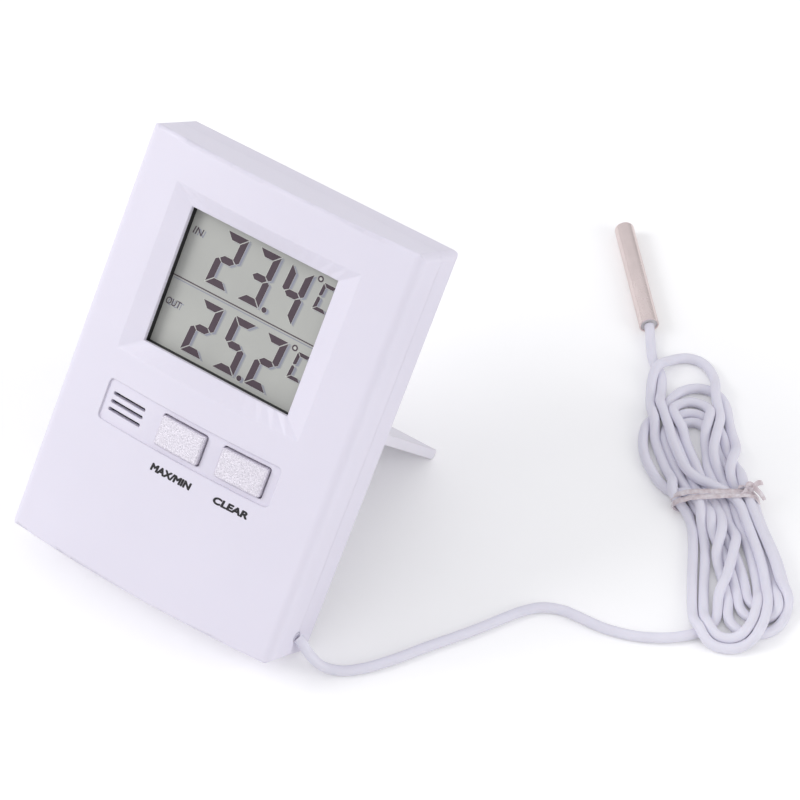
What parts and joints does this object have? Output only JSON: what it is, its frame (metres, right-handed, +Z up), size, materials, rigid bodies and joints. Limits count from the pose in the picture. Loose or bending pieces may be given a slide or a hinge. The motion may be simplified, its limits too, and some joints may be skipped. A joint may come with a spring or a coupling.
{
  "type": "maximum minimum thermometer",
  "caption": "Desk or wall thermometer with a display, memory buttons and a fold-out stand, and a steel probe on a thin lead tied in a hank.",
  "frame": {"origin": "ground level under the middle of the leaning case with its stand open, midway between its front and back", "axes": "+X to the right of the display, +Y to the back, +Z up; the case leans back on its stand"},
  "size_m": [0.1367, 0.1424, 0.0776],
  "materials": {
    "case": "satin",
    "display_frame": "matte",
    "display": "gloss under glass",
    "reflector": "satin",
    "zebra": "matte",
    "board": "satin",
    "resin": "gloss",
    "component": "matte",
    "switch": "matte",
    "button": "silver paint, satin",
    "screw": "satin",
    "steel": "satin",
    "battery_can": "gloss",
    "contact": "satin",
    "wire_red": "satin",
    "wire_black": "satin",
    "lead": "satin",
    "tie": "satin",
    "probe_plug": "satin",
    "thermistor": "gloss"
  },
  "bodies": {
    "root": {"front_shell": "case", "rear_cover": "case", "display_holder": "display_frame", "display_front_glass": "display", "display_rear_glass": "display", "display_reflector": "reflector", "zebra_strip": "zebra", "circuit_board": "board", "chip_resin": "resin", "crystal": "steel", "small_parts": "component", "tact_switches": "switch", "indoor_thermistor": "thermistor", "board_screws": "screw", "case_screws": "screw", "battery": "battery_can", "contact_positive": "contact", "contact_negative": "contact", "contact_spring": "contact", "wire_positive": "wire_red", "wire_negative": "wire_black", "lead_inside": "lead", "strain_collar": "tie", "lead_tail": "lead", "lead_hank": "lead", "lead_to_probe": "lead", "hank_tie": "tie", "probe_tube": "steel", "probe_resin": "probe_plug", "probe_thermistor": "thermistor"},
    "stand": {"stand": "case"},
    "battery_door": {"battery_door": "case"},
    "button_max_min": {"button_max_min": "button", "plunger_max_min": "switch"},
    "button_clear": {"button_clear": "button", "plunger_clear": "switch"}
  },
  "joints": [
    {"name": "stand_fold", "type": "hinge", "parent": "root", "child": "stand", "pos_m": [0, 0.00742, 0.03556], "axis": [1, 0, 0], "range_deg": [-76.1, 0]},
    {"name": "battery_door_slide", "type": "slide", "parent": "root", "child": "battery_door", "axis": [0, -0.6318, -0.7752], "range_m": [0, 0.012]},
    {"name": "button_max_min_press", "type": "slide", "parent": "root", "child": "button_max_min", "axis": [0, 0.7752, -0.6318], "range_m": [0, 0.0003], "stiffness_N_per_m": 400},
    {"name": "button_clear_press", "type": "slide", "parent": "root", "child": "button_clear", "axis": [0, 0.7752, -0.6318], "range_m": [0, 0.0003], "stiffness_N_per_m": 400}
  ]
}
